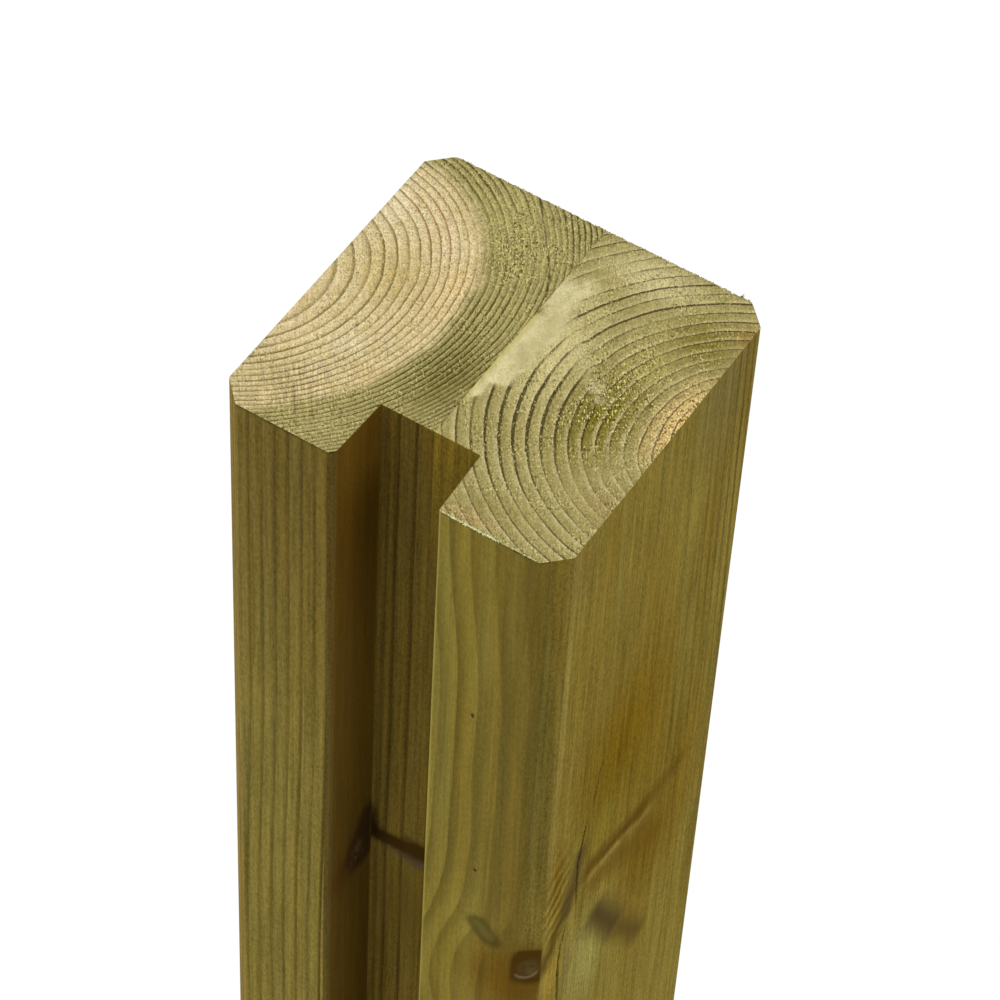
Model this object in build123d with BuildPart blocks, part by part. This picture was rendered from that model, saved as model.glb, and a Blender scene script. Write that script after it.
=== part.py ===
from build123d import *
import os

# Slotted wooden end post for a fence: two softwood boards glued face to face,
# planed square, with one full-length slot that takes the ends of the fence boards.
# Frame: Z up the post, the slot in the front face (-Y), origin at the middle of the foot.
# All sizes in millimetres.

# Whole post
post_length = 1800
post_width = 90
post_depth = 90
arris_chamfer = 5.5

# Boards: the glue line runs up the post, this far in from the left face
left_board_width = 46

# Slot in the middle of the front face, a little wider at its mouth than at its floor
slot_depth = 18
slot_mouth_width = 27.5
slot_floor_width = 26
lip_chamfer = 1.4

# Drying check in the right face, where the grain sweeps past a knot
check_depth = 6
check_width = 1.0
check_start = 98
check_end = 216
check_from_front = 20
check_sway = 6.5

# Places that follow from the sizes
glue_line_x = left_board_width - post_width / 2
right_face_x = post_width / 2
front_face_y = -post_depth / 2
slot_floor_y = front_face_y + slot_depth


def slot_outline():
    """Corners of the slot's section, open past the front face."""
    half_mouth = slot_mouth_width / 2
    half_floor = slot_floor_width / 2
    flare = (half_mouth - half_floor) / slot_depth
    overshoot = 1
    half_outside = half_mouth + flare * overshoot
    return [
        (-half_outside, front_face_y - overshoot),
        (-half_floor, slot_floor_y),
        (half_floor, slot_floor_y),
        (half_outside, front_face_y - overshoot),
    ]


def post_section():
    """Section of the glued post, planed, chamfered and slotted as one."""
    with BuildSketch() as section:
        Rectangle(post_width, post_depth)
        chamfer(section.vertices(), length=arris_chamfer)
        with BuildLine():
            Polyline(slot_outline(), close=True)
        make_face(mode=Mode.SUBTRACT)
        left_lip = section.vertices().sort_by_distance((-slot_mouth_width / 2, front_face_y))[0]
        chamfer(left_lip, length=lip_chamfer)
    return section.sketch


def check_route():
    """Middle line of the drying check on the right face, from its top end to its foot."""
    front = front_face_y + check_from_front
    top = post_length - check_start
    fall = check_end - check_start
    return [
        (front + check_sway * 1.2, top),
        (front + check_sway * 0.6, top - fall * 0.12),
        (front, top - fall * 0.25),
        (front, top - fall * 0.43),
        (front - check_sway * 0.85, top - fall * 0.53),
        (front - check_sway, top - fall * 0.62),
        (front - check_sway * 0.75, top - fall * 0.80),
        (front - check_sway * 0.8, top - fall),
    ]


def check_side(side):
    """One edge of the check's mouth: it opens from nothing to its width and closes again."""
    opening = [0, 0.35, 0.8, 1, 0.75, 1, 0.6, 0]
    half_width = check_width / 2
    return [(y + side * half_width * share, z) for (y, z), share in zip(check_route(), opening)]


section = post_section()

with BuildPart() as left_board:
    with BuildSketch() as left_section:
        add(section)
        with Locations((glue_line_x, 0)):
            Rectangle(2 * post_width, post_depth, align=(Align.MAX, Align.CENTER), mode=Mode.INTERSECT)
    extrude(amount=post_length)

with BuildPart() as right_board:
    with BuildSketch() as right_section:
        add(section)
        with Locations((glue_line_x, 0)):
            Rectangle(2 * post_width, post_depth, align=(Align.MIN, Align.CENTER), mode=Mode.INTERSECT)
    extrude(amount=post_length)
    with BuildSketch(Plane.YZ.offset(right_face_x)) as check_mouth:
        with BuildLine():
            Spline(check_side(-1))
            Spline(check_side(1))
        make_face()
    extrude(amount=-check_depth, mode=Mode.SUBTRACT)

left_board.part.label = "left_board"
right_board.part.label = "right_board"

os.makedirs("parts", exist_ok=True)
export_step(left_board.part, "parts/left_board.step")
export_step(right_board.part, "parts/right_board.step")
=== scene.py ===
"""A slotted wooden fence post: the finish of its two glued boards, seen from above its sawn top."""

import math
import random
from functools import partialmethod

import bpy
from mathutils import Matrix, Vector, noise
from mathutils.geometry import delaunay_2d_cdt


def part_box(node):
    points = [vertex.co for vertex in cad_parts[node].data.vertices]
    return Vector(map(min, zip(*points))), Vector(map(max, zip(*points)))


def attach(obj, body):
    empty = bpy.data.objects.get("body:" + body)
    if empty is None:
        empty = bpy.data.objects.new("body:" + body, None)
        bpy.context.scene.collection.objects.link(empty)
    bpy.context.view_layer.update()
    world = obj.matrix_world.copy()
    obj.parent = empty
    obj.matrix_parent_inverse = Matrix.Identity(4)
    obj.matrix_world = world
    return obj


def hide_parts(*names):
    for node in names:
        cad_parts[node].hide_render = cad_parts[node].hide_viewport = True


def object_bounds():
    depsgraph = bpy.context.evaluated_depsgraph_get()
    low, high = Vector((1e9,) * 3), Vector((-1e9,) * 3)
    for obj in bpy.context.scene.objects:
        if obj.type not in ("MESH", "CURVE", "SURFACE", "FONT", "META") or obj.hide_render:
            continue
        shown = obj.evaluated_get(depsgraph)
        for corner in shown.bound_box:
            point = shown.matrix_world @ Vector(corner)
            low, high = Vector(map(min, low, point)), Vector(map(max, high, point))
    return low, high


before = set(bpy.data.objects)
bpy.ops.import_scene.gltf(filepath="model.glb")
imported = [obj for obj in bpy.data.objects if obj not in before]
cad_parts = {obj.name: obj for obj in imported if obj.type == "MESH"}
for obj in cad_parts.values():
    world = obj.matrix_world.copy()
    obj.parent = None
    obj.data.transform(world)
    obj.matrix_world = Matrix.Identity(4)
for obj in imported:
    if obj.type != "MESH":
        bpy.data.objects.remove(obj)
cad_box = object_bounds()

# Sizes of the post, in metres, as the frame and its source give them
HALF_WIDTH, HALF_DEPTH, HEIGHT = Vector(cad_box[1])
GLUE_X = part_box("left_board")[1][0]
CHAMFER = 0.0055
SLOT_DEPTH = 0.018
SLOT_MOUTH = 0.0275
SLOT_FLOOR = 0.026
LIP_CHAMFER = 0.0014
FLOOR_Y = -HALF_DEPTH + SLOT_DEPTH

# Fineness and rounding of the board meshes, in metres; steps grow by a ratio below the fine depth
PERIMETER_STEP = 0.001
CHECK_COLUMN_STEP = 0.00028
FINE_STEP = 0.0015
FINE_DEPTH = 0.222
STEP_GROWTH = 1.14
LONGEST_STEP = 0.025
CAP_STEP = 0.0006
FOOT_STEP = 0.004
EDGE_ROUND = 0.0002
ARRIS_RADIUS = 0.0006
GLUE_RADIUS = 0.00012
HIGHEST_RELIEF = 0.00004

# Turn between faces, in degrees, over which their edge stays crisp
CREASE_ANGLE = 40

# Drying checks in the right face, in millimetres: points (y, down from the top) of each one's route,
# their widths and depths, and the y between which they all lie
CHECK_ROUTES = (
    ((-16.3, 99), (-18.2, 106), (-19.6, 114), (-19.9, 122)),
    ((-21.8, 118), (-23.6, 127), (-25.0, 135), (-24.9, 145), (-24.2, 153)),
    ((-28.6, 158), (-30.4, 165), (-31.0, 172), (-30.4, 182), (-29.6, 194), (-30.2, 216)),
)
CHECK_WIDTHS = (0.40, 0.75, 0.70)
CHECK_DEPTHS = (1.2, 5.0, 5.5)
CHECK_STRETCH = (-34, -14)

# Growth rings: pith, drift of the pith as the tree grew, and how oval they are, in millimetres
LEFT_PITH = (-65.2, -16.1)
LEFT_DRIFT = (0.141, 0.205)
LEFT_OVAL = (-0.039, 0.817)
LEFT_FIRST_RING = 20.5
LEFT_RING_RATE = 0.30
LEFT_RING_CROWDING = 0.0088
RIGHT_PITH = (53.3, -3.35)
RIGHT_DRIFT = (0.089, 0.234)
RIGHT_OVAL = (0.051, -1.138)
RIGHT_FIRST_RING = 14.4
RIGHT_RING_WIDTH = 3.5

# Whorls of knots below the part that the photograph shows, in millimetres down from the top
LEFT_WHORL = 520.0
RIGHT_WHORL = 660.0
WHORL_PITCH = 390.0
GOLDEN_ANGLE = 2.39996

MM = 0.001


def linear(level):
    """Linear level of an sRGB level from 0 to 255."""
    level = level / 255
    return level / 12.92 if level <= 0.04045 else ((level + 0.055) / 1.055) ** 2.4


def srgb(red, green, blue):
    """Linear colour of an sRGB triple."""
    return (linear(red), linear(green), linear(blue), 1.0)


def saw_axes(x, y):
    """Ways across and along the marks of the saw, which run down to the right."""
    return x * 0.80 + y * 0.60, x * -0.60 + y * 0.80


# Shader arithmetic


def feed(tree, value, socket):
    """Link a field or socket to an input, or set the input to a plain value."""
    if isinstance(value, Field):
        tree.links.new(value.socket, socket)
    elif isinstance(value, bpy.types.NodeSocket):
        tree.links.new(value, socket)
    else:
        socket.default_value = value


def new_node(tree, kind, *values, **settings):
    """New shader node with its settings, and values fed to its first inputs."""
    node = tree.nodes.new("ShaderNode" + kind)
    for key, value in settings.items():
        setattr(node, key, value)
    for value, socket in zip(values, node.inputs):
        feed(tree, value, socket)
    return node


class Field:
    """A number that varies through the wood, worked out by shader nodes."""

    def __init__(self, tree, socket):
        self.tree = tree
        self.socket = socket

    def math(self, operation, *others):
        node = new_node(self.tree, "Math", self, *others, operation=operation)
        return Field(self.tree, node.outputs[0])

    __add__ = __radd__ = partialmethod(math, "ADD")
    __sub__ = partialmethod(math, "SUBTRACT")
    __rsub__ = partialmethod(math, "MULTIPLY_ADD", -1.0)
    __mul__ = __rmul__ = partialmethod(math, "MULTIPLY")
    __truediv__ = partialmethod(math, "DIVIDE")
    __abs__ = partialmethod(math, "ABSOLUTE")
    sqrt = partialmethod(math, "SQRT")
    fract = partialmethod(math, "FRACT")
    floor = partialmethod(math, "FLOOR")
    least = partialmethod(math, "MINIMUM")
    most = partialmethod(math, "MAXIMUM")

    def rise(self, low, high):
        """0 below low, 1 above high, smooth between; high may be the lower of the two."""
        node = new_node(self.tree, "MapRange", self, low, high, interpolation_type="SMOOTHSTEP")
        return Field(self.tree, node.outputs[0])

    def bell(self, centre, width):
        """1 at centre, falling to about a third at width away."""
        offset = (self - centre) * (1 / width)
        return (offset * offset * -1.0).math("EXPONENT")


class Wood:
    """Places in a board, in millimetres and down from its sawn top, and shader tools over them."""

    def __init__(self, tree):
        self.tree = tree
        coordinates = new_node(tree, "TexCoord")
        self.place = self.vectors("MULTIPLY_ADD", coordinates.outputs["Object"],
                                  (1000.0, 1000.0, -1000.0), (0.0, 0.0, HEIGHT * 1000))
        self.x, self.y, self.down = self.split(self.place)
        self.ragged = self.warp(self.place, (0.16, 0.16, 0.10), 2.2, 3.0)
        self.frayed = self.warp(self.place, (0.30, 0.30, 0.12), 5.0, 4.0)
        self.jitter = self.cloud((1.5, 0.15), 2.0, 0.6)

    def vectors(self, operation, *values, output=0):
        return new_node(self.tree, "VectorMath", *values, operation=operation).outputs[output]

    def length(self, vector):
        return Field(self.tree, self.vectors("LENGTH", vector, output="Value"))

    def dot(self, first, second):
        return Field(self.tree, self.vectors("DOT_PRODUCT", first, second, output="Value"))

    def scaled(self, vector, level):
        node = new_node(self.tree, "VectorMath", vector, operation="SCALE")
        feed(self.tree, level, node.inputs["Scale"])
        return node.outputs[0]

    def join(self, x, y, z):
        return new_node(self.tree, "CombineXYZ", x, y, z).outputs[0]

    def split(self, vector):
        node = new_node(self.tree, "SeparateXYZ", vector)
        return [Field(self.tree, socket) for socket in node.outputs]

    def noise(self, scale, detail, roughness, place=None):
        """Noise node at place: its values are the vector, unused W, scale, detail and roughness."""
        moved = self.vectors("MULTIPLY", place or self.place, scale)
        return new_node(self.tree, "TexNoise", moved, 0.0, 1.0, detail, roughness)

    def cloud(self, scale, detail=2.0, roughness=0.5, place=None):
        """Smooth noise about 0; scale is cycles a millimetre across and down, or in x, y and down."""
        scale = scale if len(scale) == 3 else (scale[0], *scale)
        return Field(self.tree, self.noise(scale, detail, roughness, place).outputs[0]) - 0.5

    def warp(self, place, scale, amount, detail):
        """Place moved about by noise, by up to half of amount each way."""
        drift = self.noise(scale, detail, 0.6, place).outputs["Color"]
        drift = self.vectors("SUBTRACT", drift, (0.5, 0.5, 0.5))
        return self.vectors("ADD", place, self.scaled(drift, amount))

    def chance(self, number):
        """A steady random value from 0 to 1 for each whole number."""
        node = new_node(self.tree, "TexWhiteNoise", (0, 0, 0), number, noise_dimensions="1D")
        return Field(self.tree, node.outputs["Value"])

    def blend(self, first, second, amount):
        """Colour between two colours, each a socket or an sRGB triple, by amount from 0 to 1."""
        node = new_node(self.tree, "Mix", amount, data_type="RGBA")
        for colour, socket in ((first, node.inputs[6]), (second, node.inputs[7])):
            feed(self.tree, srgb(*colour) if isinstance(colour, tuple) else colour, socket)
        return node.outputs[2]

    def layered(self, colour, layers):
        """Colour with layers blended over it in turn: each is a colour and its amount."""
        for tint, amount in layers:
            colour = self.blend(colour, tint, amount)
        return colour

    def mixed(self, first, second, amount):
        """Number between two numbers, by amount from 0 to 1."""
        return first + (second - first) * amount

    def spot(self, centre, reach, place=None):
        """1 in the middle of an ellipsoid, falling smoothly to 0 at its edge."""
        offset = self.vectors("SUBTRACT", place or self.ragged, centre)
        return self.length(self.vectors("DIVIDE", offset, reach)).rise(1.0, 0.0)

    def distance(self, start, end, place):
        """Distance from a straight line between two places."""
        axis = Vector(end) - Vector(start)
        offset = self.vectors("SUBTRACT", place, start)
        share = self.dot(offset, tuple(axis / axis.length_squared)).least(1.0).most(0.0)
        return self.length(self.vectors("SUBTRACT", offset, self.scaled(tuple(axis), share)))

    def smudge(self, start, end, reach, place=None):
        """1 on a line, falling smoothly to 0 at reach from it, with frayed edges or over place."""
        return self.distance(start, end, place or self.frayed).rise(reach, 0.0)

    def spotted(self, colour, stains):
        """Colour with soft spots over it: each is a colour, middle, reach and strength."""
        return self.layered(colour, [
            (tint, self.spot(centre, reach) * strength) for tint, centre, reach, strength in stains])

    def smudged(self, colour, smudges, x, mask, place=None):
        """Colour with smudges on a face at x, of a colour, ends in y and down, reach and strength."""
        return self.layered(colour, [
            (tint, self.smudge((x, *start), (x, *end), reach, place) * mask * strength)
            for tint, start, end, reach, strength in smudges])

    def patch(self, x, y, reach_x, reach_y, reach_down=60):
        """1 in the middle of an ellipse on the sawn top, falling smoothly to 0 at its edge."""
        return self.spot((x, y, 0), (reach_x, reach_y, reach_down))

    def patched(self, colour, patches):
        """Colour with soft stains over the sawn top: each is a colour, ellipse and strength."""
        return self.layered(colour, [
            (tint, self.patch(*ellipse, 40) * strength) for tint, ellipse, strength in patches])


# Growth rings


def pith_distance(wood, place, pith, drift, oval):
    """Distance from a drifting pith with slightly oval rings, and its x and y."""
    x, y, _ = wood.split(place)
    start_x = x - pith[0]
    start_y = y - pith[1]
    first = (start_x * start_x + start_y * start_y).sqrt()
    dx = start_x - first * drift[0]
    dy = start_y - first * drift[1]
    squares = dx * dx + dy * dy
    cosine = math.cos(2 * oval[1])
    sine = math.sin(2 * oval[1])
    stretch = ((dx * dx - dy * dy) * cosine + dx * dy * (2 * sine)) / squares
    return squares.sqrt() * (stretch * oval[0] + 1.0), dx, dy


def round_knots(wood, place, knots):
    """Place moved so that rings part round each knot, of a start, end and radius."""
    for start, end, radius in knots:
        axis = (Vector(end) - Vector(start)).normalized()
        offset = wood.vectors("SUBTRACT", place, start)
        along = wood.scaled(tuple(axis), wood.dot(offset, tuple(axis)))
        across = wood.vectors("SUBTRACT", offset, along)
        gap = wood.length(wood.vectors("MULTIPLY", across, (1.0, 1.0, 0.42)))
        pull = (gap * gap + radius * radius * 0.6).math("POWER", -1.0) * (radius * radius)
        shift = wood.vectors("MULTIPLY", wood.scaled(across, pull), (1.0, 1.0, 0.0))
        place = wood.vectors("SUBTRACT", place, shift)
    return place


def wandering(wood, bends):
    """Place moved sideways by the slow drift of the grain and by its bends."""
    shift = wood.cloud((0.02, 0.0035), 2.0) * wood.down * 0.012 + bends
    lean = wood.down * 0.03 * wood.y.rise(0.0, 14.0) * wood.x.rise(30.0, 40.0)
    wobble = wood.cloud((0.05, 0.012), 2.0) * (wood.down * 0.02).least(1.6) + lean
    return wood.vectors("SUBTRACT", wood.place, wood.join(shift, wobble, 0.0))


RIGHT_KNOTS = (((45, -20, 155), (30.5, -46, 151), 3.2), ((52, -15, 163), (42.5, -45, 161), 4.0))


def left_rings(wood):
    """Distance from the left board's pith, and the number of rings out to there."""
    by_slot = wood.x.rise(-38.0, -18.0) * wood.y.rise(-38.0, -43.0)
    place = wandering(wood, wood.down.rise(95.0, 200.0) * by_slot * -2.0)
    radius, _, _ = pith_distance(wood, place, LEFT_PITH, LEFT_DRIFT, LEFT_OVAL)
    grown = radius + wood.cloud((0.10, 0.01), 3.0) * 0.8 + wood.jitter * 0.3 - LEFT_FIRST_RING
    return radius, grown * grown * LEFT_RING_CROWDING + grown * LEFT_RING_RATE


def right_rings(wood):
    """Distance from the right board's pith, and the number of rings out to there."""
    in_lip = wood.y.rise(-30.0, -42.0)
    bends = wood.down.rise(0.0, 62.0) * 3.8 - wood.down.bell(180.0, 32.0) * 9.0
    place = round_knots(wood, wandering(wood, bends * in_lip), RIGHT_KNOTS)
    radius, dx, dy = pith_distance(wood, place, RIGHT_PITH, RIGHT_DRIFT, RIGHT_OVAL)
    crowded_radius = 41.6
    upward = dy.math("ARCTAN2", dx * -1.0)
    crowding = upward.rise(math.radians(-15), math.radians(88)) * -0.37 + 1.0
    drawn = crowded_radius - (crowded_radius - radius) / crowding
    across = (wood.x - 14.4) * 0.60 + (wood.y - 13.3) * 0.80
    jog = (across.rise(-1.0, 1.0) - 0.5) * across.bell(0.0, 6.0)
    jog = jog * wood.spot((19, 9, 0), (13, 13, 60), wood.place) * 0.9
    grown = drawn + wood.cloud((0.11, 0.01), 3.0) * 0.9 + wood.jitter * 0.45 + jog - RIGHT_FIRST_RING
    return radius, grown * (1 / RIGHT_RING_WIDTH)


def late_wood(share, start, full, end):
    """Dark share of each ring: it darkens from start to full, and ends sharply from end on."""
    return share.rise(start, full) * share.rise(1.0, end)


# Sawn ends


def saw_marks(wood):
    """Fine parallel lines that the saw left."""
    across, along = saw_axes(wood.x, wood.y)
    fine = wood.cloud((1.9, 0.14, 0.0), 2.0, 0.6, wood.join(across, along, 0.0))
    coarse = wood.cloud((0.75, 0.05, 0.0), 1.0, 0.5, wood.join(across, along, 3.0))
    return fine + coarse * 0.3


def sawn_surface(wood, colour, marks, glint, pit, rough):
    """Colour with the pale and dark grains of cut fibres, painted glints of light on them, and the saw's
    marks.
    """
    place = wood.join(*saw_axes(wood.x, wood.y), wood.down)
    grain = wood.cloud((2.7, 1.9, 2.7), 2.0, 0.75, place)
    tufts = wood.cloud((0.8, 0.6, 0.8), 3.0, 0.75, place)
    colour = wood.scaled(colour, (grain * 1.9 + tufts * 1.1) * rough + marks * 0.7 + 1.0)
    crowd = wood.cloud((0.12, 0.05), 3.0, 0.6).rise(-0.16, 0.12) * rough
    # Glints: pale flecks painted as highlights of light on the cut fibres.
    glints = wood.cloud((2.5, 1.2, 2.5), 1.0, 0.5, wood.vectors("ADD", place, (31.0, 7.0, 0.0)))
    colour = wood.blend(colour, glint, glints.rise(0.07, 0.19) * crowd * 0.75)
    pits = wood.cloud((2.3, 1.1, 2.3), 1.0, 0.5, wood.vectors("ADD", place, (5.0, 53.0, 0.0)))
    return wood.blend(colour, pit, pits.rise(0.06, 0.18) * crowd * 0.8)


LEFT_TOP_STAINS = (
    ((234, 219, 180), (-42, 24, 13, 15), 0.8),
    ((228, 208, 166), (-25, 20, 8, 10), 0.6),
    ((192, 170, 104), (-31, 6, 15, 15), 0.7),
    ((232, 200, 146), (-18, 9, 7, 17), 0.8),
    ((226, 212, 174), (-29, -17, 9, 5), 0.7),
    ((218, 186, 128), (-19, -22, 7, 7), 0.6),
    ((192, 174, 124), (-37, -36, 17, 15), 0.8),
)
LEFT_SAP_STAINS = (
    ((172, 160, 98), (-24, 38, 16, 12), 0.7),
    ((134, 122, 58), (-17, 18, 5, 12), 0.6),
    ((115, 104, 44), (-5, -12, 11, 20), 0.95),
    ((168, 155, 98), (-25, -38, 15, 15), 0.95),
    ((170, 159, 92), (-7, 10, 8, 14), 0.6),
    ((176, 165, 100), (-20, 38, 10, 9), 0.5),
)
LEFT_BOLD_LINE = ((-17, 45), (-11.5, 38), (-6, 31), (-2, 25), (0.4, 20))


def left_end(wood, radius, count):
    """Sawn top of the left board: cream heartwood, then olive sapwood that took the treatment."""
    share = count.fract()
    luck = wood.chance(count.floor())
    ragged = wood.cloud((0.09, 0.03), 3.0)
    sap = (radius + ragged * 6).rise(42.6, 46.2)
    heart_colour = wood.patched((216, 196, 148), LEFT_TOP_STAINS)
    mottle = wood.cloud((0.22, 0.1), 3.0, 0.65)
    heart_colour = wood.layered(heart_colour, (
        ((196, 172, 92), mottle.rise(0.03, 0.22) * 0.55),
        ((232, 216, 178), mottle.rise(-0.05, -0.24) * 0.55),
    ))
    sap_colour = wood.patched((160, 149, 90), LEFT_SAP_STAINS)
    colour = wood.blend(heart_colour, sap_colour, sap)
    faint = wood.patch(-15, 30, 19, 22) * 0.9
    low = wood.patch(-26, -38, 20, 20)
    bold = wood.patch(-7, -8, 12, 24) + wood.patch(-3, 43, 14, 10)
    strength = luck * 0.55 + ragged * 1.5 + 0.5 - faint + bold * 0.5
    thin = sap.most(wood.y.rise(-20.0, -34.0) * 0.7) * -0.16
    line = late_wood(share, thin + 0.70, thin + 0.90, 0.97) * strength.least(1.0).most(0.12)
    red = radius.bell(39.0, 5.0) * wood.cloud((0.07, 0.03), 2.0).rise(-0.04, 0.14)
    red = red * wood.y.rise(5.0, 20.0)
    heart_line = wood.blend((112, 95, 46), (150, 84, 62), red * 0.9)
    sap_line = wood.blend((66, 57, 18), (112, 98, 52), low)
    strokes = [
        wood.distance((*start, 0), (*end, 0), wood.ragged).rise(0.42, 0.12)
        for start, end in zip(LEFT_BOLD_LINE, LEFT_BOLD_LINE[1:])]
    colour = wood.layered(colour, (
        ((178, 150, 92), share.rise(0.3, 0.95) * (1.0 - sap) * 0.35),
        (wood.blend(heart_line, sap_line, sap), line * 0.82),
        *(((64, 54, 20), stroke * 0.8) for stroke in strokes),
        ((234, 220, 172), share.rise(0.42, 0.0) * 0.25),
    ))
    rays = wood.patch(-30, -34, 20, 16)
    rough = wood.patch(-12, 30, 18, 20) * sap * 0.7 + 1.0
    pit = wood.blend((140, 120, 66), (84, 74, 28), sap)
    # The pale colour handed on is that of the painted glints.
    return sawn_surface(wood, colour, saw_marks(wood) * (rays * 1.8 + 0.8), (226, 213, 142), pit, rough)


RIGHT_TOP_STAINS = (
    ((118, 105, 24), (29, -3, 14, 26), 0.95),
    ((124, 110, 36), (37, 28, 13, 14), 0.9),
    ((206, 194, 142), (18, 38, 18, 9), 0.9),
    ((205, 191, 132), (12, 7, 9, 24), 1.0),
    ((206, 197, 142), (6, 24, 8, 9), 0.6),
    ((176, 163, 90), (30, 16, 8, 9), 0.6),
    ((142, 129, 72), (23, -38, 12, 6), 0.7),
    ((146, 134, 72), (12, -18, 12, 10), 0.5),
    ((226, 190, 124), (45, 5, 9, 20), 1.0),
    ((152, 126, 78), (43, -24, 8, 9), 0.6),
    ((140, 106, 40), (44, 35, 6, 6), 0.8),
    ((168, 134, 88), (20, -43, 12, 4), 0.5),
)


def smeared(wood):
    """Strength of the pale smear beside the glue line, and of its streak."""
    smear = wood.smudge((3.0, -4, 0), (4.4, 11, 0), 7.0).rise(0.05, 0.55)
    smear = smear.most(wood.smudge((0.6, -14, 0), (3.4, -6, 0), 3.0).rise(0.1, 0.5))
    smear = smear.most(wood.smudge((2.5, 24, 0), (6.0, 15, 0), 6.0).rise(0.0, 1.0) * 0.85)
    smear = smear.most(wood.smudge((5.0, 21, 0), (7.0, 27.5, 0), 3.6) * 0.8)
    broken = wood.cloud((0.22, 0.1), 2.0, 0.6).rise(-0.08, 0.10)
    streak = wood.smudge((8, 15.5, 0), (27, 1.5, 0), 3.2) * (broken * 0.5 + 0.2)
    return smear, streak


def right_end(wood, radius, count):
    """Sawn top of the right board: olive, with bold rings and a pale smear by the glue line."""
    share = count.fract()
    ring = count.floor()
    luck = wood.chance(ring + 40.0)
    ragged = wood.cloud((0.09, 0.03), 3.0)
    early = wood.patched((164, 151, 94), RIGHT_TOP_STAINS)
    early = wood.layered(early, (
        ((208, 194, 142), share.rise(0.45, 0.0) * (ragged * 1.6 + 0.40)),
        ((118, 104, 46), share.rise(0.45, 0.9) * (ragged + 0.08)),
    ))
    smear, streak = smeared(wood)
    below = wood.patch(15, -12, 19, 28) * 1.3
    above = (ring.bell(9.0, 0.4) + ring.bell(7.0, 0.4)) * wood.y.rise(6.0, 18.0)
    corner = wood.patch(3, 43, 14, 9) + wood.patch(40, 38, 16, 12) + wood.patch(43, 6, 7, 20)
    start = share + (below + above * 0.5) * 0.13
    line = start.rise(0.80, 0.93) * share.rise(1.0, 0.965)
    faded = wood.patch(38, -20, 14, 13) + wood.patch(9, 35, 10, 7)
    strength = below * 0.4 + above * 0.6 + corner * 0.5 + luck * 0.4 + ragged * 1.7 + 0.45 - faded * 0.7
    line = line * strength.least(1.0).most(0.1) * (1.0 - smear) * (1.0 - streak * 0.7)
    shade = wood.patch(6, 3, 4.5, 11).most(wood.patch(6, 13.5, 4.5, 6.5) * 0.9)
    pale = wood.blend((224, 213, 162), (196, 184, 130), shade)
    pale = wood.blend(pale, (200, 184, 104), wood.x.rise(2.8, 1.4) * wood.y.rise(22.0, 14.0) * 0.7)
    pale = wood.scaled(pale, wood.cloud((0.35, 0.1), 3.0, 0.6) * 0.7 + 1.0)
    patchy = wood.cloud((0.16, 0.1), 3.0, 0.6).rise(-0.2, 0.12)
    green = wood.patch(28, 4, 15, 27)
    heart = wood.patch(44, 4, 11, 22)
    rough = (green * 1.0 + heart * 0.8 + 0.85) * (1.0 - smear * 0.7)
    along_rings = wood.y * 0.96 + wood.x * 0.28
    scratches = wood.cloud((1.6, 0.25, 0.5), 2.0, 0.6, wood.join(radius, along_rings, 0.0))
    colour = wood.layered(early, (
        ((64, 55, 28), line * 0.9),
        (pale, smear * (patchy * 0.18 + 0.7)),
        ((198, 187, 137), streak),
        ((120, 88, 42), scratches.rise(0.05, 0.16) * heart.rise(0.1, 0.6) * 0.7),
    ))
    pit = wood.blend((80, 70, 26), (112, 82, 40), heart)
    # The pale colour handed on is that of the painted glints.
    return sawn_surface(wood, colour, saw_marks(wood) * (1.0 - smear * 0.7), (238, 228, 148), pit, rough)


# Planed sides


def planed_surface(wood, colour, contrast, hue):
    """Colour with the fine upright streaks of planed fibres, warmer and greener, and flecks."""
    fibres = wood.cloud((1.3, 0.03), 3.0, 0.65)
    bands = wood.cloud((0.42, 0.010), 2.0, 0.5)
    fleck = wood.cloud((2.1, 0.9), 2.0, 0.75)
    tone = wood.cloud((0.05, 0.012), 3.0, 0.6)
    streaks = fibres * 0.9 + bands * 0.4 + fleck * 1.0
    colour = wood.scaled(colour, streaks * contrast + tone * 0.4 + 1.0)
    warmth = wood.cloud((0.30, 0.009), 3.0, 0.6, wood.vectors("ADD", wood.place, (0.0, 0.0, 900.0)))
    warmth = warmth * hue
    return wood.vectors("MULTIPLY", colour, wood.join(warmth * 0.26 + 1.0, 1.0, 1.0 - warmth * 0.7))


def lower_knots(wood, colour, pith, phase, first):
    """Colour with the whorls of knots further down the post, from a first one on."""
    step = ((wood.down - first) * (1 / WHORL_PITCH)).math("ROUND")
    height = wood.down - first - step * WHORL_PITCH
    px, py, _ = wood.split(wood.ragged)
    off_x = px - pith[0]
    off_y = py - pith[1]
    for branch in range(3):
        turn = step * GOLDEN_ANGLE + (phase + branch * 2.2)
        cosine = turn.math("COSINE")
        sine = turn.math("SINE")
        along = off_x * cosine + off_y * sine
        across = off_y * cosine - off_x * sine
        rise = height - along * 0.25 + (34.0 * branch - 30.0)
        gap = (across * across + rise * rise * 0.55).sqrt()
        reach = (along * 0.10).most(0.4) + 0.8
        share = gap / reach
        rings = (gap * 0.8).fract()
        core = wood.blend((122, 88, 40), (70, 44, 18), rings.rise(0.3, 0.9) * 0.6)
        core = wood.blend(core, (52, 32, 14), share.rise(0.6, 1.0) * 0.8)
        grown = along.rise(3.0, 8.0) * wood.down.rise(300.0, 320.0)
        halo = share.rise(2.6, 0.9) * grown * 0.6
        colour = wood.layered(colour, (((104, 82, 34), halo), (core, share.rise(1.08, 0.92) * grown)))
    return colour


def under_edge(wood, colour):
    """Colour with a dark line just under the top's front edge."""
    dark = wood.down.rise(1.3, 0.3) * wood.y.rise(-42.0, -44.0)
    dark = dark * (wood.cloud((0.5, 0.5), 2.0) * 2.0 + 0.7)
    return wood.blend(colour, (58, 46, 18), dark.most(0.0) * 0.8)


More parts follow.
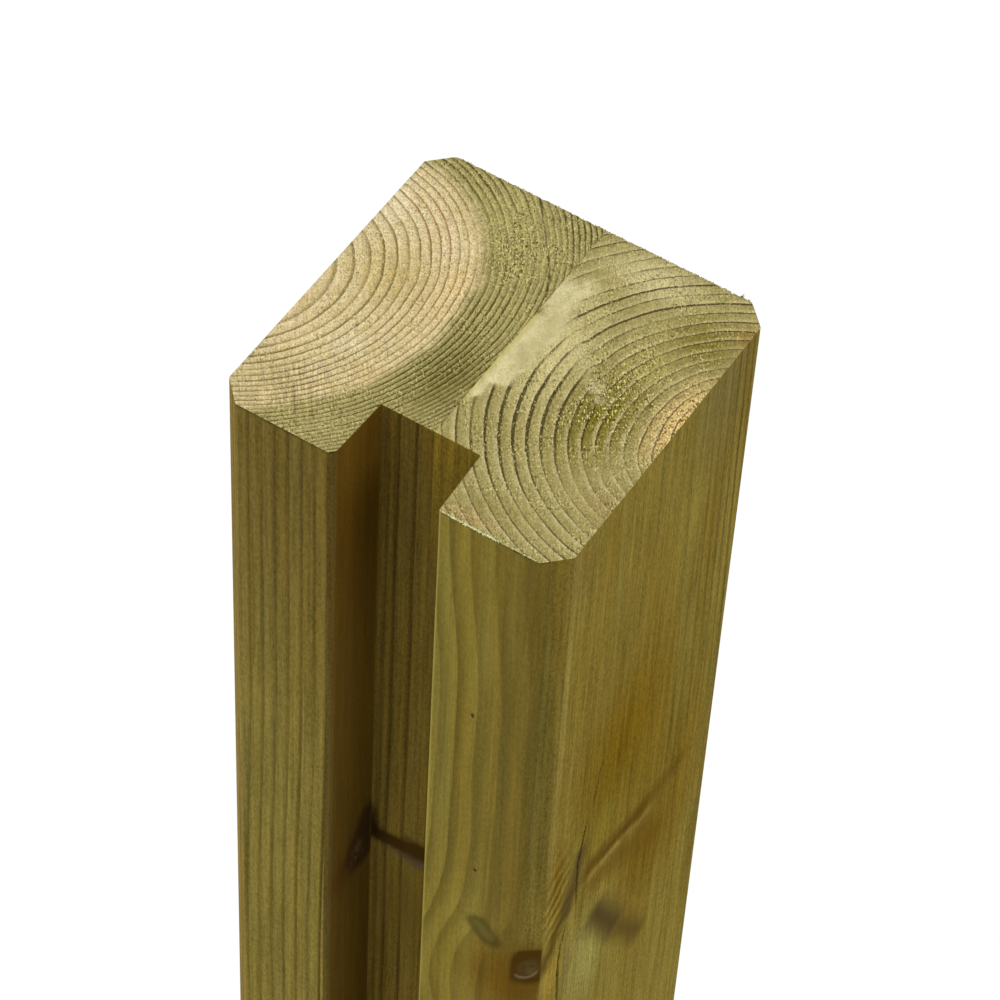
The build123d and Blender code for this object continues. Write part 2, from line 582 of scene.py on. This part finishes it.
def slot_band(wood, colour, slot):
    """Colour with the dark branch that the slot's floor cuts along, and its grey sheen."""
    band = wood.smudge((-13, -27, 166.5), (12, -27, 163), 5.6)
    band = band.most(wood.smudge((-1, -27, 165.5), (12, -27, 166), 8.0)).rise(0.0, 0.8)
    below = wood.spot((0, -27, 190), (18, 4, 26))
    corner = wood.smudge((-14, -27, 156), (-12.5, -27, 166), 4.5)
    sheen = wood.smudge((-11, -27, 169.5), (10, -27, 169.5), 3.4) * wood.x.rise(-13.0, 3.0)
    return wood.layered(colour, (
        ((98, 79, 28), below * slot * 0.6),
        ((60, 41, 12), band * slot * 0.95),
        ((46, 30, 14), corner * slot),
        ((92, 76, 58), sheen * slot * 0.8),
    ))


def wall_knot(wood, colour, wall):
    """Colour with the blurred dark knot in the slot's left wall."""
    halo = wood.smudge((-13, -30, 161), (-13, -39, 173), 10.0)
    dark = wood.smudge((-13, -27, 157), (-13, -34, 168.5), 8.0)
    dark = dark.most(wood.smudge((-13, -27.5, 170), (-13, -32, 172), 7.5)).rise(0.0, 0.8)
    mottle = wood.cloud((0.45, 0.25), 3.0, 0.7).rise(-0.12, 0.16)
    core = wood.spot((-13, -33.0, 169), (4, 4.0, 7.5), wood.frayed)
    return wood.layered(colour, (
        ((86, 56, 22), halo * wall * 0.7),
        ((68, 49, 26), dark * wall),
        ((106, 94, 58), core * mottle * wall * 0.8),
    ))


def left_side(wood, radius, count):
    """Planed faces and slot of the left board."""
    slot = abs(wood.x).rise(14.4, 14.0) * wood.y.rise(-26.4, -26.8)
    front = wood.y.rise(-44.6, -44.8)
    bend = wood.cloud((0.02, 0.0035), 2.0) * wood.down * 0.02 + wood.down.rise(95.0, 200.0) * 1.6
    even = (wood.x + wood.jitter * 0.4 + bend) * 0.28
    counted = wood.mixed(count * (0.75 - slot * 0.25), even, front)
    share = counted.fract()
    luck = wood.chance(counted.floor() + 7.0)
    base = wood.blend((111, 95, 45), (129, 114, 53), wood.down.rise(10.0, 150.0))
    # The left front chamfer and its arris are painted pale: a painted highlight, as if lit.
    chamfer = (wood.x + wood.y).rise(-84.0, -84.8)
    wall = slot * wood.x.rise(-12.8, -13.0)
    deep = wood.y.rise(-42.0, -30.0)
    shaded = wood.blend((103, 76, 24), (94, 69, 19), deep)
    green = wood.blend((101, 78, 30), (108, 84, 29), deep)
    green = wood.scaled(green, 1.0 - wood.down.rise(110.0, 150.0) * 0.12)
    base = wood.layered(base, (
        # Painted highlight on the left front chamfer.
        ((156, 134, 74), chamfer),
        # Slot floor, darker near the top: painted shadow of the left lip falling into the slot.
        (wood.blend((104, 84, 33), (112, 93, 38), wood.down.rise(5.0, 80.0)), slot),
        (wood.blend(shaded, green, wood.down.rise(20.0, 100.0)), wall),
    ))
    crisp = late_wood(share, front * 0.20 + 0.35, front * 0.13 + 0.75, front * 0.11 + 0.80)
    crisp = crisp * (luck * 1.1 - 0.05).most(front * 0.25 + 0.25).least(1.0)
    blurred = late_wood(share, 0.1, 0.7, 0.7) * (luck * 1.0 + 0.1)
    line = wood.mixed(crisp, blurred, slot) * (1.0 - wall * 0.9)
    eased_lip = wood.x.rise(-15.3, -15.0) * wood.y.rise(-43.4, -43.8)
    colour = wood.layered(base, (
        ((62, 46, 16), line * (front * 0.08 + 0.72)),
        ((88, 72, 32), eased_lip * 0.8),
    ))
    colour = planed_surface(wood, colour, 1.3 - wall * 0.7, 1.0)
    colour = under_edge(wood, colour)
    colour = slot_band(wood, colour, slot * (1.0 - wall))
    colour = wall_knot(wood, colour, wall)
    return lower_knots(wood, colour, LEFT_PITH, 0.5, LEFT_WHORL)


# Soft stains on the right board's sides, and one painted highlight along an arris: colour, middle, reach
# and strength.
RIGHT_SIDE_STAINS_AND_HIGHLIGHT = (
    ((116, 103, 58), (45, 26, 4), (6, 20, 50), 0.85),
    ((134, 118, 56), (45, 1, 6), (6, 10, 40), 0.6),
    ((114, 87, 12), (45, -8, 105), (6, 30, 44), 0.85),
    ((118, 96, 26), (45, 0, 130), (6, 44, 60), 0.4),
    ((142, 126, 58), (17, -45, 110), (5, 4, 30), 0.7),
    ((124, 106, 51), (45, -36, 10), (6, 9, 24), 0.9),
    ((112, 88, 26), (45, -35, 132), (6, 8, 26), 0.9),
    ((110, 94, 38), (38, -45, 12), (7, 4, 26), 0.8),
    ((126, 112, 40), (45, -14, 132), (6, 9, 14), 0.8),
    ((110, 85, 22), (45, 11, 174), (6, 22, 28), 0.75),
    ((152, 142, 76), (45, -18, 188), (5, 15, 38), 1.0),
    ((122, 94, 24), (45, 25, 155), (5, 16, 58), 0.6),
    ((154, 130, 54), (45, -34, 175), (6, 7, 18), 0.8),
    ((114, 103, 62), (45, -26, 180), (5, 3.5, 20), 0.7),
    # Painted highlight: a pale strip along the arris between the right face and its front chamfer.
    ((147, 131, 68), (45, -38.2, 84), (4, 2.4, 130), 0.6),
    ((142, 126, 62), (45, 34, 62), (6, 8, 50), 0.7),
    ((112, 84, 24), (35, -45, 168), (16, 7, 22), 0.95),
    ((98, 86, 38), (43, -43, 60), (5, 5, 90), 0.75),
    ((138, 127, 60), (26, -45, 45), (6, 4, 30), 0.5),
    ((140, 128, 60), (26, -45, 150), (6, 5, 26), 0.5),
)
# Soft marks of the knots under the right face: colour, start and end in y and down, reach and strength
RIGHT_SMUDGES = (
    ((88, 70, 24), (-28, 146), (-38.5, 165), 5.6, 0.9),
    ((86, 63, 16), (-19, 144.5), (6, 149.5), 6.0, 0.75),
    ((94, 72, 22), (4, 149.5), (24, 150), 6.5, 0.55),
    ((146, 120, 62), (-18, 150), (-6, 151.5), 2.5, 0.6),
    ((144, 118, 60), (-8, 151.5), (10, 155), 2.4, 0.55),
    ((96, 74, 24), (-17, 154), (-4, 155.5), 2.2, 0.5),
    ((98, 72, 18), (-4, 160), (14, 170), 9.0, 0.45),
    ((98, 76, 26), (-13, 156), (8, 160), 7.0, 0.45),
)
# Softer marks on the right face, in the same way
RIGHT_BLURS = (
    ((86, 70, 38), (-24.3, 132), (-28.2, 152), 5.2, 0.85),
    ((84, 69, 37), (-13, 172), (-3, 190), 8.6, 1.0),
    ((90, 73, 33), (1, 196), (11, 211), 7.0, 0.85),
)
# Small dark pin knots: middle and reach
PIN_KNOTS = (
    ((25, -45, 67), (0.6, 2, 1.2)),
    ((28, -45, 127.5), (0.7, 2, 0.7)),
    ((45, -41, 90), (2, 0.8, 1.2)),
)


def pressed_ripples(wood, colour, face):
    """Colour with the wavy grain pressed aside round the right face's knots."""
    wander = wood.cloud((0.10, 0.06), 3.0, 0.6) * 9.0
    left = (wood.down * 1.05 + wood.y * 0.78 + wander * 1.2).math("SINE")
    middle = (wood.down * 1.3 - wood.y * 0.15 + wander).math("SINE")
    waves = left * wood.spot((45, -34.5, 140), (4, 9, 30))
    waves = waves + middle * wood.spot((45, -8, 150), (4, 18, 9)) * 0.5
    return wood.scaled(colour, waves * face * 0.40 + 1.0)


def front_knots(wood, colour):
    """Colour with the right lip's faint knot and pins, and its dark knot cut by the chamfer."""
    knot = wood.smudge((30.0, -45, 149.4), (32.8, -45, 152.8), 5.6, wood.ragged).rise(0.0, 0.7)
    inner = wood.smudge((30.0, -45, 149.6), (32.2, -45, 152.0), 3.6, wood.ragged)
    off_face = wood.y.rise(-39.2, -39.9)
    halo = wood.spot((43, -42, 166), (12, 10, 25), wood.frayed) * off_face
    dark = wood.spot((43.6, -41, 160.5), (10.0, 10.0, 12.5)).rise(0.05, 0.36) * off_face
    dark = dark * wood.x.rise(38.8, 40.0) * (wood.down - wood.x * 0.3).rise(140.2, 142.0)
    turn = wood.cloud((0.35, 0.3), 3.0, 0.6).rise(-0.15, 0.15)
    # Grey: the knot's grey sheen, painted into its colour.
    grey = wood.spot((42.8, -42.0, 162.5), (5.0, 5.0, 7.0)).rise(0.0, 0.9) * off_face
    offset = wood.vectors("SUBTRACT", wood.ragged, (42.4, -42.1, 161.0))
    arc = wood.length(wood.vectors("DIVIDE", offset, (3.4, 3.4, 5.2))).bell(1.0, 0.11)
    arc = arc * wood.down.rise(162.8, 165.0) * off_face
    pins = [wood.spot(middle, reach, wood.place).rise(0.0, 0.4) for middle, reach in PIN_KNOTS]
    return wood.layered(colour, (
        ((76, 64, 26), knot * 0.8),
        ((106, 96, 50), inner * 0.75),
        ((94, 68, 20), halo.rise(0.0, 0.8) * 0.8),
        ((70, 49, 13), dark),
        (wood.blend((72, 56, 25), (88, 72, 42), turn), grey * 0.85),
        ((126, 110, 80), arc * 0.55),
        *(((40, 28, 12), pin * 0.8) for pin in pins),
    ))


def right_side(wood, radius, count):
    """Planed faces and slot of the right board, with the marks of its knots."""
    share = count.fract()
    luck = wood.chance(count.floor() + 40.0)
    uneven = wood.cloud((0.045, 0.006), 3.0)
    lip = wood.y.rise(-42.0, -44.5)
    face = wood.x.rise(44.0, 44.8)
    base = wood.blend((131, 116, 52), (124, 104, 42), uneven.rise(-0.14, 0.14))
    lip_colour = wood.blend((131, 116, 50), (116, 99, 42), wood.x.rise(22.0, 38.0))
    slot = abs(wood.x).rise(13.6, 13.2) * wood.y.rise(-26.4, -26.8)
    shaded = wood.blend((126, 104, 36), (98, 81, 32), wood.down.rise(5.0, 55.0))
    shaded = wood.blend(shaded, (110, 92, 36), wood.down.rise(80.0, 140.0))
    base = wood.spotted(wood.layered(base, ((lip_colour, lip * 0.85), (shaded, slot))), RIGHT_SIDE_STAINS_AND_HIGHLIGHT)
    soft = face * wood.y.rise(28.0, 10.0).most(wood.down.rise(90.0, 170.0) * 0.8)
    line = late_wood(share, 0.4, 0.9, 0.9) * (luck * 0.5 + uneven * 1.5 + 0.5)
    line = line * (1.0 - soft * 0.92)
    broad = late_wood(share, 0.2, 0.9, 0.9) * (luck * 0.6 + 0.5)
    chamfer = (wood.x - wood.y).rise(84.15, 84.45)
    line = wood.mixed(line * 0.66, broad * 0.6, lip) * (1.0 - chamfer * 0.92)
    colour = wood.blend(base, (80, 68, 28), line)
    colour = planed_surface(wood, colour, 1.4 - lip * 0.6, 1.0 - face * 0.5)
    colour = wood.scaled(colour, 1.0 - chamfer * (wood.down.rise(150.0, 90.0) * 0.07 + 0.14))
    colour = under_edge(wood, colour)
    colour = wood.smudged(colour, RIGHT_SMUDGES, 45, face)
    colour = wood.smudged(colour, RIGHT_BLURS, 45, face, wood.ragged)
    colour = pressed_ripples(wood, colour, face)
    chatter = (wood.down * 5.2).math("SINE") * wood.spot((45, -16, 18), (4, 14, 17))
    colour = wood.scaled(colour, chatter * face * 0.07 + 1.0)
    colour = slot_band(wood, colour, slot)
    colour = front_knots(wood, colour)
    # Painted highlight: a pale line along the right lip's inner front arris.
    edge = wood.x.bell(14.0, 0.35) * wood.y.rise(-44.0, -44.8)
    colour = wood.blend(colour, (168, 156, 80), edge * 0.7)
    return lower_knots(wood, colour, RIGHT_PITH, 1.9, RIGHT_WHORL)


# Materials


def new_material(name, roughness, specular):
    """New material, its shader, and the wood that its colour and bump are worked out over."""
    material = bpy.data.materials.new(name)
    material.use_nodes = True
    shader = material.node_tree.nodes["Principled BSDF"]
    shader.inputs["Roughness"].default_value = roughness
    shader.inputs["Specular IOR Level"].default_value = specular
    return material, shader, Wood(material.node_tree)


def bumped(wood, shader, height, distance, strength):
    """Rough up a surface by a height field; distance is in metres."""
    bump = new_node(wood.tree, "Bump", strength, distance)
    feed(wood.tree, height, bump.inputs["Height"])
    wood.tree.links.new(bump.outputs[0], shader.inputs["Normal"])


def end_material(name, rings, colours):
    """Sawn end grain: dull, with upstanding fibres."""
    material, shader, wood = new_material(name, 0.88, 0.05)
    feed(wood.tree, colours(wood, *rings(wood)), shader.inputs["Base Color"])
    bumped(wood, shader, wood.cloud((1.6, 0.4), 3.0, 0.7) + saw_marks(wood) * 0.5, 0.0006, 0.55)
    return material


def side_material(name, rings, colours):
    """Planed wood: a slight sheen and fine upright fibres."""
    material, shader, wood = new_material(name, 0.62, 0.0)
    feed(wood.tree, colours(wood, *rings(wood)), shader.inputs["Base Color"])
    ripples = wood.cloud((0.3, 0.25), 2.0) * 0.6
    bumped(wood, shader, wood.cloud((1.8, 0.05), 3.0, 0.6) + ripples, 0.0003, 0.4)
    return material


def fibre_material(name, colour):
    """Torn fibres along a sawn edge."""
    material, shader, wood = new_material(name, 0.9, 0.1)
    level = wood.cloud((0.8, 0.8), 2.0) * 0.9 + 1.0
    feed(wood.tree, wood.scaled(srgb(*colour)[:3], level), shader.inputs["Base Color"])
    return material


# Board meshes


def place_object(name, data):
    """New object of the scene that shows some data."""
    thing = bpy.data.objects.new(name, data)
    bpy.context.scene.collection.objects.link(thing)
    return thing


def round_corner(before, corner, after, radius, steps=3):
    """Points of an arc that eases a corner of an outline."""
    if radius <= 0:
        return [corner]
    back = (before - corner).normalized()
    ahead = (after - corner).normalized()
    half = back.angle(ahead) / 2
    reach = radius / math.tan(half)
    centre = corner + (back + ahead).normalized() * (radius / math.sin(half))
    first = corner + back * reach - centre
    last = corner + ahead * reach - centre
    sweep = first.angle_signed(last)
    arc = []
    for step in range(steps + 1):
        turn = Matrix.Rotation(-sweep * step / steps, 2)
        arc.append(centre + turn @ first)
    return arc


def near_checks(here, there):
    """Whether a stretch of outline lies where the drying checks are."""
    on_face = min(here.x, there.x) > HALF_WIDTH - 0.1 * MM
    lowest, highest = (place * MM for place in CHECK_STRETCH)
    return on_face and max(here.y, there.y) > lowest and min(here.y, there.y) < highest


def resample(points):
    """Closed outline in even short steps, finer where the checks open."""
    out = []
    for here, there in zip(points, points[1:] + points[:1]):
        pieces = max(1, math.ceil((there - here).length / PERIMETER_STEP))
        stretch = [here.lerp(there, share / pieces) for share in range(pieces)] + [there]
        for start, end in zip(stretch, stretch[1:]):
            splits = math.ceil(PERIMETER_STEP / CHECK_COLUMN_STEP) if near_checks(start, end) else 1
            out.extend(start.lerp(end, share / splits) for share in range(splits))
    return out


def chamfered_edges(side):
    """Corners of the two chamfers on one side of the post, from the back to the front."""
    return [
        (side * (HALF_WIDTH - CHAMFER), HALF_DEPTH, ARRIS_RADIUS),
        (side * HALF_WIDTH, HALF_DEPTH - CHAMFER, ARRIS_RADIUS),
        (side * HALF_WIDTH, -HALF_DEPTH + CHAMFER, ARRIS_RADIUS),
        (side * (HALF_WIDTH - CHAMFER), -HALF_DEPTH, ARRIS_RADIUS),
    ]


def left_outline():
    """Corners of the left board's section, anticlockwise, with the radius of each."""
    wall_lean = (SLOT_MOUTH - SLOT_FLOOR) / 2 / SLOT_DEPTH
    lip_x = -SLOT_MOUTH / 2
    return [
        (GLUE_X, HALF_DEPTH, GLUE_RADIUS),
        *chamfered_edges(-1),
        (lip_x - LIP_CHAMFER, -HALF_DEPTH, ARRIS_RADIUS),
        (lip_x + LIP_CHAMFER * wall_lean, -HALF_DEPTH + LIP_CHAMFER, ARRIS_RADIUS),
        (-SLOT_FLOOR / 2, FLOOR_Y, GLUE_RADIUS),
        (GLUE_X, FLOOR_Y, 0),
    ]


def right_outline():
    """Corners of the right board's section, anticlockwise, with the radius of each."""
    return [
        (GLUE_X, FLOOR_Y, 0),
        (SLOT_FLOOR / 2, FLOOR_Y, GLUE_RADIUS),
        (SLOT_MOUTH / 2, -HALF_DEPTH, ARRIS_RADIUS * 0.7),
        *reversed(chamfered_edges(1)),
        (GLUE_X, HALF_DEPTH, GLUE_RADIUS),
    ]


def eased(corners):
    """Outline points with every corner rounded by its own radius."""
    places = [Vector((x, y)) for x, y, _ in corners]
    out = []
    for index, (_, _, radius) in enumerate(corners):
        after = places[(index + 1) % len(places)]
        out.extend(round_corner(places[index - 1], places[index], after, radius))
    return out


def inset(points, distance):
    """Outline moved inwards by a small distance."""
    out = []
    count = len(points)
    for index, point in enumerate(points):
        along = (points[(index + 1) % count] - points[index - 1]).normalized()
        out.append(point + Vector((-along.y, along.x)) * distance)
    return out


def levels():
    """Heights of the rows of the side mesh, from the top edge down to the foot."""
    heights = [HEIGHT - EDGE_ROUND]
    step = FINE_STEP
    while heights[-1] - step > EDGE_ROUND + step:
        heights.append(heights[-1] - step)
        if HEIGHT - heights[-1] > FINE_DEPTH:
            step = min(step * STEP_GROWTH, LONGEST_STEP)
    heights.append(EDGE_ROUND)
    return heights


def inside(point, polygon):
    """Whether a point lies within an outline."""
    crossings = False
    x, y = point
    for here, there in zip(polygon, polygon[1:] + polygon[:1]):
        if (here.y > y) != (there.y > y):
            if x < (there.x - here.x) * (y - here.y) / (there.y - here.y) + here.x:
                crossings = not crossings
    return crossings


def cap(edge, step, seed):
    """Triangles that fill an outline with a fine, slightly irregular net."""
    draw = random.Random(seed)
    margin = inset(edge, step * 0.6)
    xs = [p.x for p in edge]
    ys = [p.y for p in edge]
    net = list(edge)
    columns = int((max(xs) - min(xs)) / step)
    rows = int((max(ys) - min(ys)) / step)
    for row in range(rows + 1):
        for column in range(columns + 1):
            x = min(xs) + (column + draw.uniform(-0.2, 0.2)) * step
            y = min(ys) + (row + draw.uniform(-0.2, 0.2)) * step
            if inside((x, y), margin):
                net.append(Vector((x, y)))
    count = len(edge)
    border = [(index, (index + 1) % count) for index in range(count)]
    points, _, faces, _, _, _ = delaunay_2d_cdt(net, border, [], 1, 1e-9)
    return points, faces


def distance_to(y, down, start, end):
    """Distance in millimetres from a stretch of a check's route, and the share of it passed."""
    run = Vector(end) - Vector(start)
    offset = Vector((y, down)) - Vector(start)
    share = min(1.0, max(0.0, offset.dot(run) / run.length_squared))
    return (offset - run * share).length, share


def check_depth(y, down):
    """How deep the nearest drying check is at a place on the right face, in millimetres."""
    deepest = 0.0
    for route, width, depth in zip(CHECK_ROUTES, CHECK_WIDTHS, CHECK_DEPTHS):
        stretches = len(route) - 1
        for index, (start, end) in enumerate(zip(route, route[1:])):
            gap, share = distance_to(y, down, start, end)
            along = (index + share) / stretches
            opening = width * (math.sin(math.pi * along) ** 0.6 if 0 < along < 1 else 0.0)
            opening *= 1 + 0.9 * noise.noise(Vector((down * 0.5, 4.0, 9.0)))
            if gap < opening / 2:
                deepest = max(deepest, depth * min(1.0, opening / width) * (1 - (2 * gap / opening) ** 2))
    return deepest


def sawn_relief(x, y):
    """Height of the sawn top over its mean, in millimetres: saw ridges and torn patches."""
    across, along = saw_axes(x, y)
    ridges = noise.noise(Vector((across * 0.45, along * 0.03, 2.0))) * 0.07
    patches = noise.noise(Vector((x * 0.12, y * 0.12, 5.0))) * 0.08
    grains = noise.noise(Vector((x * 0.9, y * 0.9, 8.0))) * 0.05
    return ridges + patches + grains


def tear(x, y):
    """How far the saw tore the back top edge away at a place along it, in millimetres."""
    if y < HALF_DEPTH / MM - 1.2:
        return 0.0
    teeth = noise.noise(Vector((x * 0.65, 1.0, 3.0))) + 0.6 * noise.noise(Vector((x * 1.7, 6.0, 3.0)))
    return max(0.0, 0.2 + 0.7 * teeth)


def side_point(x, y, height):
    """Place of a side vertex, sunk where a check opens and where the saw tore the back edge."""
    down = (HEIGHT - height) / MM
    place = Vector((x, y, height))
    if x > HALF_WIDTH - 0.1 * MM:
        place.x -= check_depth(y / MM, down) * MM
    if down < 1.0:
        place.y -= tear(x / MM, y / MM) * 0.5 * MM
    return place


def cap_point(x, y, height, at_edge):
    """Place of a vertex of the sawn top, with its relief and the torn back edge."""
    lift = sawn_relief(x / MM, y / MM)
    torn = tear(x / MM, y / MM) if at_edge else 0.0
    return Vector((x, y - torn * MM, height + min(lift * MM, HIGHEST_RELIEF) - torn * 0.5 * MM))


def board(name, corners, seed):
    """Closed mesh of one board, fine near its top; its second material is on its ends."""
    ring = resample(eased(corners))
    edge = inset(ring, EDGE_ROUND)
    count = len(ring)
    vertices = []
    faces = []
    ends = []
    heights = levels()
    for height in heights:
        vertices.extend(side_point(point.x, point.y, height) for point in ring)
    for row in range(len(heights) - 1):
        for column in range(count):
            upper = row * count + column
            beside = row * count + (column + 1) % count
            faces.append((upper, upper + count, beside + count, beside))
    ends.extend([0] * len(faces))
    for height, step, upwards in ((HEIGHT, CAP_STEP, True), (0.0, FOOT_STEP, False)):
        start = len(vertices)
        points, triangles = cap(edge, step, seed)
        for index, point in enumerate(points):
            place = Vector((point.x, point.y, height))
            vertices.append(cap_point(point.x, point.y, height, index < count) if upwards else place)
        row = 0 if upwards else (len(heights) - 1) * count
        for column in range(count):
            beside = (column + 1) % count
            quad = (row + column, row + beside, start + beside, start + column)
            faces.append(quad if upwards else quad[::-1])
        for triangle in triangles:
            face = tuple(start + index for index in triangle)
            faces.append(face if upwards else face[::-1])
        ends.extend([1] * (len(faces) - len(ends)))
    mesh = bpy.data.meshes.new(name)
    mesh.from_pydata(vertices, [], faces)
    for polygon, end in zip(mesh.polygons, ends):
        polygon.use_smooth = True
        polygon.material_index = end
    return place_object(name, mesh)


def blade(vertices, faces, root, tip, width, side):
    """Add one torn fibre: a thin three-sided spike from root to tip."""
    first = len(vertices)
    along = (tip - root).normalized()
    third = along.cross(side).normalized()
    for direction in (side, third - side * 0.5, -third - side * 0.5):
        vertices.append(root + direction * width / 2)
    vertices.append(tip)
    faces.extend([(first, first + 1, first + 2), (first, first + 3, first + 1),
                  (first + 1, first + 3, first + 2), (first + 2, first + 3, first)])


def torn_fibres(name, rows, seed):
    """Torn fibres along edges of the sawn top: each row is its ends, outward way, count and longest."""
    draw = random.Random(seed)
    vertices = []
    faces = []
    for start, end, outward, count, longest in rows:
        start, end = Vector((*start, HEIGHT / MM)), Vector((*end, HEIGHT / MM))
        outward = Vector((*outward, 0))
        run = (end - start).normalized()
        for _ in range(count):
            root = start.lerp(end, draw.random()) - outward * 0.15
            root.z -= draw.uniform(0.05, 0.35)
            reach = longest * draw.uniform(0.35, 1.0)
            lean = run * draw.uniform(-0.9, 0.9) + Vector((0, 0, draw.uniform(-0.5, 0.25)))
            tip = root + (outward * draw.uniform(0.5, 1.0) + lean).normalized() * reach
            tip.z = min(tip.z, HEIGHT / MM + 0.05)
            blade(vertices, faces, root, tip, draw.uniform(0.18, 0.4), run)
    mesh = bpy.data.meshes.new(name)
    mesh.from_pydata([vertex * MM for vertex in vertices], [], faces)
    return place_object(name, mesh)


# Camera, lights and floor


def direction(azimuth, elevation):
    """Way out from the post; azimuth is to the right of the front, in radians."""
    ahead = math.cos(elevation)
    return Vector((math.sin(azimuth) * ahead, -math.cos(azimuth) * ahead, math.sin(elevation)))


def add_camera():
    """Look down on the top from the front right, as the photograph does."""
    azimuth = math.radians(29.8)
    elevation = math.radians(51.28)
    roll = math.radians(-3.43)
    distance = 1.0038
    aim = Vector((0.0, 0.0053, HEIGHT - 0.0583))
    focal_pixels = 4297.3
    image_pixels = 1000
    back = direction(azimuth, elevation)
    right = (-back).cross(Vector((0, 0, 1))).normalized()
    up = right.cross(-back)
    turn = Matrix((right, up, back)).transposed() @ Matrix.Rotation(-roll, 3, "Z")
    camera_data = bpy.data.cameras.new("camera")
    camera_data.sensor_fit = "HORIZONTAL"
    camera_data.sensor_width = 36.0
    camera_data.lens = camera_data.sensor_width * focal_pixels / image_pixels
    camera_data.clip_end = 50.0
    camera = place_object("camera", camera_data)
    camera.matrix_world = Matrix.Translation(aim + back * distance) @ turn.to_4x4()
    bpy.context.scene.camera = camera


def add_sun(name, azimuth, elevation, level, softness):
    """Soft distant light, with its angles in degrees; level 1 shows white as white."""
    data = bpy.data.lights.new(name, "SUN")
    data.energy = level * math.pi
    data.angle = math.radians(softness)
    towards = direction(math.radians(azimuth), math.radians(elevation))
    turn = towards.to_track_quat("Z", "Y").to_matrix().to_4x4()
    place_object(name, data).matrix_world = Matrix.Translation(towards * 4) @ turn


def seen_directly(tree):
    """1 for rays of the camera, reflections and glass, and 0 for those that light things."""
    paths = new_node(tree, "LightPath")
    camera, glossy, through = (
        Field(tree, paths.outputs["Is %s Ray" % kind]) for kind in ("Camera", "Glossy", "Transmission"))
    return camera.most(glossy).most(through)


def add_world(level):
    """Even grey light all round, seen as white by the camera and in reflections."""
    world = bpy.data.worlds.new("world")
    world.use_nodes = True
    tree = world.node_tree
    background = tree.nodes["Background"]
    background.inputs["Color"].default_value = (1.0, 1.0, 1.0, 1.0)
    feed(tree, seen_directly(tree) * (1.0 - level) + level, background.inputs["Strength"])
    bpy.context.scene.world = world


def add_floor():
    """Pale floor that keeps the post's shadow and is white to the camera."""
    mesh = bpy.data.meshes.new("floor")
    reach = 12.0
    corners = [(-reach, -reach, 0), (reach, -reach, 0), (reach, reach, 0), (-reach, reach, 0)]
    mesh.from_pydata(corners, [], [(0, 1, 2, 3)])
    floor = place_object("floor", mesh)
    material = bpy.data.materials.new("floor")
    material.use_nodes = True
    tree = material.node_tree
    tree.nodes.clear()
    diffuse = new_node(tree, "BsdfDiffuse", (0.9, 0.9, 0.9, 1.0))
    white = new_node(tree, "Emission", (1.0, 1.0, 1.0, 1.0), 1.03)
    surfaces = diffuse.outputs[0], white.outputs[0]
    mix = new_node(tree, "MixShader", seen_directly(tree) * 0.85, *surfaces)
    new_node(tree, "OutputMaterial", mix.outputs[0])
    mesh.materials.append(material)


def add_boards():
    """The two boards, each a finished mesh in the place of its solid."""
    specs = (
        ("left_wood", "left_board", left_outline(), left_rings, left_side, left_end, 11),
        ("right_wood", "right_board", right_outline(), right_rings, right_side, right_end, 12),
    )
    for name, node, corners, rings, side, end, seed in specs:
        piece = board(name, corners, seed)
        piece.data.set_sharp_from_angle(angle=math.radians(CREASE_ANGLE))
        piece.data.materials.append(side_material(name + "_side", rings, side))
        piece.data.materials.append(end_material(name + "_end", rings, end))
        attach(piece, "root")
        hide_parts(node)


def add_torn_fibres():
    """Fibres torn up by the saw along the top's edges, with a pale burr on the right lip."""
    front = -HALF_DEPTH / MM
    back = HALF_DEPTH / MM
    lip = SLOT_MOUTH / 2 / MM
    chamfer_start = (HALF_WIDTH - CHAMFER) / MM
    glue = GLUE_X / MM
    floor_corner = SLOT_FLOOR / 2 / MM
    slot_floor = FLOOR_Y / MM
    specs = (
        ("left_fibres", "left_board", (170, 156, 96), 21, (
            ((-chamfer_start, back), (glue, back), (0, 1), 80, 0.55),
            ((-lip - 6, front), (-lip - 1, front), (0, -1), 26, 0.35),
            ((-lip, front + 2), (-floor_corner, slot_floor), (1, 0), 46, 0.45),
            ((-floor_corner, slot_floor), (glue, slot_floor), (0, -1), 30, 0.35),
        )),
        ("right_fibres", "right_board", (222, 228, 178), 22, (
            ((lip + 0.4, front), (18, front), (0, -1), 50, 0.4),
            ((17, front), (29, front), (0, -1), 190, 0.6),
            ((28, front), (chamfer_start, front), (0, -1), 80, 0.4),
        )),
        ("back_fibres", "right_board", (158, 144, 84), 23, (
            ((glue, back), (chamfer_start, back), (0, 1), 80, 0.55),
            ((glue, slot_floor), (floor_corner, slot_floor), (0, -1), 30, 0.35),
        )),
        ("back_splinter", "right_board", (104, 92, 48), 24, (
            ((36.5, back), (36.8, back), (-0.5, 1), 3, 1.7),
        )),
    )
    for name, node, colour, seed, rows in specs:
        piece = torn_fibres(name, rows, seed)
        piece.data.materials.append(fibre_material(name, colour))
        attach(piece, "root")


add_boards()
add_torn_fibres()
add_floor()
add_world(level=0.54)
add_sun("key", azimuth=-25, elevation=60, level=0.37, softness=25)
add_sun("fill", azimuth=78, elevation=40, level=0.30, softness=25)
add_camera()
bpy.context.scene.view_settings.view_transform = "Standard"
